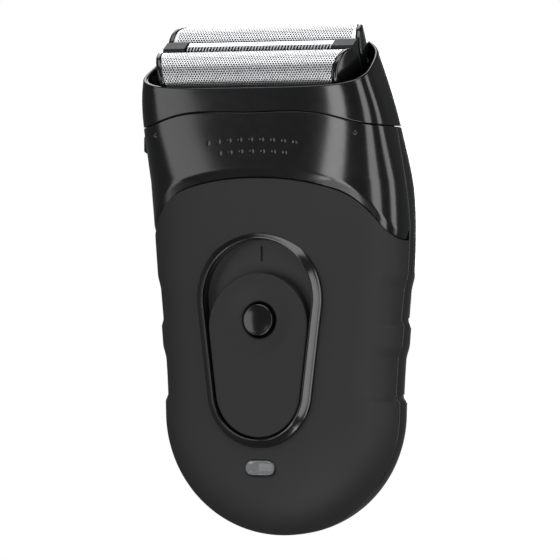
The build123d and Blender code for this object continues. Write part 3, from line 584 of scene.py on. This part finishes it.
low, top = settle(lambda x, y, z: seam_z(x) + GAP, 94), settle(rim_height, 104)
roll, half_wall = 0.2, FRAME_WALL / 2
skirt = FRAME_WALL + 0.45
rows = [(low - 1.4, skirt, 0), (low + 0.05, skirt, 0)]
rows += [(low + roll * (1 - math.sin(a)), roll * (1 - math.cos(a)), 0) for a in np.linspace(math.pi / 2, 0, 5)]
rows += [(low + roll + (top - low - roll) * s, 0, 0) for s in np.linspace(0, 1, 40)[1:]]
rows += [(top, half_wall * (1 - math.cos(a)), half_wall * math.sin(a)) for a in np.linspace(0, math.pi, 9)[1:]]
rows += [(top - s * np.minimum(8.0, top - low - 0.5), FRAME_WALL, 0) for s in np.linspace(0, 1, 12)[1:]]
g = []
for z, inset, lift in rows:
    x, y = skin(round_frame, z, inset)
    if inset == FRAME_WALL:
        u, n = head_un(y, z)
        deepest = np.maximum(head_un(skin(round_frame, z, THINNEST)[1], z)[0], u)
        y, z = head_yz(np.where((u > 5) & (np.abs(x) < 22.4), np.clip(RELIEF_U, u, deepest), u), n)
    g.append(np.stack([x, y - lift * TS, z + lift * TC], -1))
v, f = mirror_grid(np.array(g))
place("frame_skin", v, f, "head", gloss, ["head_frame"])

# ------------------------------------------------------------------ foils and their cradles
FOIL_U, FOIL_R, FLANK, FOIL_SHEET = 5.5, 4.4, -1.8, 0.15
CAP_R, RAIL, CAP_PAST, CAP_EDGE = 4.7, -3.4, 0.85, 0.5


def end_half(u):
    """Half length of the foils: both ends follow one shallow barrel, 22.9 - 0.0204 u^2."""
    return 22.9 - 0.0204 * u ** 2


def d_outline(u0, r, low_n, count=48):
    """Half circle of radius r about (u0, 0) with straight flanks down to low_n, as (u, n) and arc length."""
    a = np.linspace(math.pi, 0, count)
    flank = np.linspace(low_n, 0, 5)[:-1]
    u = np.concatenate([np.full(4, u0 - r), u0 + r * np.cos(a), np.full(4, u0 + r)])
    n = np.concatenate([flank, r * np.sin(a), flank[::-1]])
    arc = np.concatenate([[0], np.cumsum(np.hypot(np.diff(u), np.diff(n)))])
    return u, n, arc - arc[-1] / 2


for name, u0 in (("front", -FOIL_U), ("rear", FOIL_U)):
    u, n, arc = d_outline(u0, FOIL_R, FLANK)
    xs = np.linspace(-1, 1, 60)
    y, z = head_yz(u, n)
    g = np.array([np.stack([x * end_half(u), y, z], -1) for x in xs])
    uv = np.array([np.stack([x * end_half(u), arc], -1) for x in xs]).reshape(-1, 2)
    sheet = place(name + "_foil_sheet", g.reshape(-1, 3), grid_faces(*g.shape[:2]), name + "_foil",
                  foil, [name + "_foil"], uv=uv)
    m = sheet.modifiers.new("sheet", "SOLIDIFY")
    m.thickness, m.offset = FOIL_SHEET * MM, -1
    for side in (-1, 1):
        steps = [(0.35, -0.5), (0.05, -0.45), (0.0, 0.02), (0.0, CAP_PAST - CAP_EDGE)]
        steps += [(CAP_EDGE * (1 - math.cos(a)), CAP_PAST - CAP_EDGE + CAP_EDGE * math.sin(a))
                  for a in np.linspace(0, math.pi / 2, 7)[1:]]
        steps += [(CAP_EDGE + 0.8, CAP_PAST + 0.06), (2.6, CAP_PAST + 0.1), (CAP_R - 0.05, CAP_PAST + 0.12)]
        rows = []
        for sunk, x in steps:
            uu, nn, _ = d_outline(u0, CAP_R - sunk, RAIL + min(sunk, 1.5))
            y, z = head_yz(uu, nn)
            rows.append(np.stack([side * (end_half(uu) + x), y, z], -1))
        v, f = solid(np.array(rows), wrap=True, flip=side > 0)
        place(f"{name}_cap_{'left' if side < 0 else 'right'}", v, f, name + "_foil", gloss,
              [name + "_foil_cradle"])
    for flank in (-1, 1):
        uc = u0 + flank * 4.47
        ring = [(-0.25, FLANK - 0.02), (0.25, FLANK - 0.02), (0.25, RAIL), (-0.25, RAIL)]
        y, z = head_yz(uc + np.array([p[0] for p in ring]), np.array([p[1] for p in ring]))
        g = np.array([np.stack([np.full(4, x), y, z], -1) for x in (-21.4, 21.4)])
        v, f = g.reshape(-1, 3), grid_faces(2, 4, wrap=True)
        place(f"{name}_rail_{flank + 1}", v, f, name + "_foil", gloss, [], smooth=False)


# ------------------------------------------------------------------ trimmer comb
TOOTH_PITCH, COMB_HALF, TEETH_EACH_SIDE = 0.76, 17.95, 23


def bar(x, half, u, n):
    """Box along the head: x the middle, half the half width, u and n the (low, high) pairs at root and tip."""
    pts = []
    for k, (uu, nn, w) in enumerate(((u[0], n[0], half[0]), (u[1], n[1], half[1]))):
        y, z = head_yz(np.array([uu, uu]), np.array(nn))
        pts += [(x - w, y[0], z[0]), (x + w, y[0], z[0]), (x + w, y[1], z[1]), (x - w, y[1], z[1])]
    return pts, [(0, 1, 2, 3), (7, 6, 5, 4), (0, 4, 5, 1), (1, 5, 6, 2), (2, 6, 7, 3), (3, 7, 4, 0)]


v, f = [], []
bars = [bar(0, (COMB_HALF, COMB_HALF), (-0.15, 1.45), ((3.0, 3.55), (3.0, 3.55)))]
bars += [bar(i * TOOTH_PITCH, (0.24, 0.12), (-0.1, -1.42), ((3.0, 3.55), (2.75, 3.2)))
         for i in range(-TEETH_EACH_SIDE, TEETH_EACH_SIDE + 1)]
for pts, quads in bars:
    f += [tuple(i + len(v) for i in q) for q in quads]
    v += pts
place("comb_plate", v, f, "head", blade, ["trimmer_comb"], smooth=False)

# ------------------------------------------------------------------ switch
ring = egg(260)
g = around(ring, [(0.0, -12.9), (0.0, -15.85), (0.05, -16.02), (0.16, -16.14), (0.32, -16.16), (0.46, -16.08),
                  (0.62, -15.92), (0.9, -15.66), (1.25, -15.36), (1.6, -15.08), (1.85, -14.9), (1.95, -14.78),
                  (1.95, -13.8)])
v, f = solid(g, flip=True)
place("collar_ring", v, f, "housing", gloss, ["switch_collar"])

# The slider: a flat face that sinks in a shallow bowl round the button's hole, its edge rounded.
BUTTON_Z, BUTTON_R, BUTTON_HOLE = 48.8, 3.55, 4.05
FACE, SLIDE_TOP, SLIDE_R, SLIDE_EDGE, SLIDE_FOOT = -15.6, 59.3, 12.1, 0.45, -13.25
BOWL_DEPTH, BOWL_SPAN, BOWL_START = 0.78, (4.0, 8.6), 4.4
slide = egg(200, SLIDE_TOP - SLIDE_R, SLIDE_R, LOW_Z, LOW_R - 0.4)
angle = np.arctan2(slide[:, 1] - BUTTON_Z, slide[:, 0])
ray = np.stack([np.cos(angle), np.sin(angle)], -1)
rows = []
for r, y in ((BUTTON_HOLE, -12.4), (BUTTON_HOLE, FACE + 1.15), (4.12, FACE + 0.95), (BOWL_START, FACE + BOWL_DEPTH)):
    rows.append(np.stack([r * ray[:, 0], np.full(200, y), BUTTON_Z + r * ray[:, 1]], -1))
start = BOWL_START * ray + (0, BUTTON_Z)
stop = slide[:, :2] - SLIDE_EDGE * slide[:, 2:]
for s in np.linspace(0, 1, 46)[1:]:
    p = start + (stop - start) * s
    r = np.hypot(p[:, 0], p[:, 1] - BUTTON_Z)
    rows.append(np.stack([p[:, 0], FACE + BOWL_DEPTH * (1 - ease(r, *BOWL_SPAN)), p[:, 1]], -1))
for a in np.linspace(0, math.pi / 2, 6)[1:]:
    p = slide[:, :2] - SLIDE_EDGE * (1 - math.sin(a)) * slide[:, 2:]
    rows.append(np.stack([p[:, 0], np.full(200, FACE + SLIDE_EDGE * (1 - math.cos(a))), p[:, 1]], -1))
rows.append(np.stack([slide[:, 0], np.full(200, SLIDE_FOOT), slide[:, 1]], -1))
v, f = solid(np.array(rows))
place("slider_skin", v, f, "slider", soft, ["switch_slider"])

# The button: a dished face, y = DISH_Y + DISH_RISE r^2, inside a rounded edge.
DISH_Y, DISH_RISE, DISH_R = -15.95, 0.034, 3.2
profile = [(r, DISH_Y + DISH_RISE * r ** 2) for r in np.linspace(0, DISH_R, 12)]
profile += rounded(BUTTON_R, FACE, -13.0, 0.3, 6)
v, f = solid(turned(profile, (0, BUTTON_Z)))
place("button_cap", v, f, "button", gloss, ["lock_button"])

# ------------------------------------------------------------------ small cap bosses near the head seam
BOSS_X, BOSS_Z, BOSS_R, BOSS_PROUD = 24.4, 90.2, 0.6, 0.32
for sx in (-BOSS_X, BOSS_X):
    by = float(skin_y(np.array([sx]), np.array([BOSS_Z]), -1)[0])
    dome = [(BOSS_R * math.sin(q), by - BOSS_PROUD * math.cos(q)) for q in np.linspace(0, math.pi / 2, 7)]
    v, f = solid(turned(dome + [(BOSS_R, by + BOSS_R)], (sx, BOSS_Z), count=28))
    place(f"cap_boss_{'left' if sx < 0 else 'right'}", v, f, "housing", gloss)

# ------------------------------------------------------------------ camera, light, backdrop
# The camera stands level at 24 degrees to the right, far enough off for a nearly flat view. It takes in
# 560 / 4.42 mm at the object.
AZ = math.radians(24.0)
right = np.array([math.cos(AZ), math.sin(AZ), 0])
back = np.array([math.sin(AZ), -math.cos(AZ), 0])
target = (right * -1.3 + np.array([0, 0, 57.7])) * MM
camera = bpy.data.objects.new("camera", bpy.data.cameras.new("camera"))
bpy.context.scene.collection.objects.link(camera)
distance, width_mm = 1.08, 560 / 4.42
camera.location = target + back * distance
camera.rotation_euler = (math.pi / 2, 0.0, AZ)
camera.data.lens = 36 * distance / (width_mm * MM)
camera.data.clip_start, camera.data.clip_end = 0.05, 10
bpy.context.scene.camera = camera


def lamp(name, az, el, away, size, power, aim=(0, 0, 60)):
    """Area light placed by its bearing from the object, aimed at a point."""
    a, e = math.radians(az), math.radians(el)
    p = np.array([math.sin(a) * math.cos(e), -math.cos(a) * math.cos(e), math.sin(e)]) * away + np.array(aim) * MM
    data = bpy.data.lights.new(name, "AREA")
    data.shape, data.size, data.size_y, data.energy = "RECTANGLE", size[0], size[1], power
    obj = bpy.data.objects.new(name, data)
    obj.location = p
    obj.rotation_euler = (Vector(p) - Vector(aim) * MM).to_track_quat("Z", "Y").to_euler()
    bpy.context.scene.collection.objects.link(obj)
    return obj


# Tall boxes right and left draw the streaks on the gloss, a wide one overhead lights the foils.
lamp("front_low", 1, -26, 0.8, (0.22, 0.34), 1.35)
lamp("bounce", 10, -50, 0.8, (0.62, 0.20), 2.6)
lamp("right_tall", 62, -4, 0.8, (0.30, 1.1), 4.2)
lamp("far_right", 112, 5, 0.8, (0.25, 0.8), 2.0)
lamp("left_low", -47, -9, 0.8, (0.40, 0.6), 1.7)
lamp("overhead", 0, 58, 0.9, (0.9, 0.6), 6.5)
lamp("crown", -132, 56, 0.8, (0.5, 0.5), 2.8)
lamp("back_fill", 195, 20, 0.9, (0.5, 0.7), 4.0)

# A dim cool sky lights the object; the camera alone sees white behind it.
world = bpy.data.worlds.new("studio")
bpy.context.scene.world = world
world.use_nodes = True
world.node_tree.nodes.clear()
put = partial(add, world.node_tree)
sky = put("Background", {"Color": (0.95, 0.97, 1.0, 1), "Strength": 0.13})
backdrop = put("Background", {"Color": (1, 1, 1, 1), "Strength": 1.0})
seen = put("MixShader", {0: put("LightPath", out="Is Camera Ray"), 1: sky, 2: backdrop})
put("OutputWorld", {"Surface": seen})
bpy.context.scene.view_settings.view_transform = "Standard"
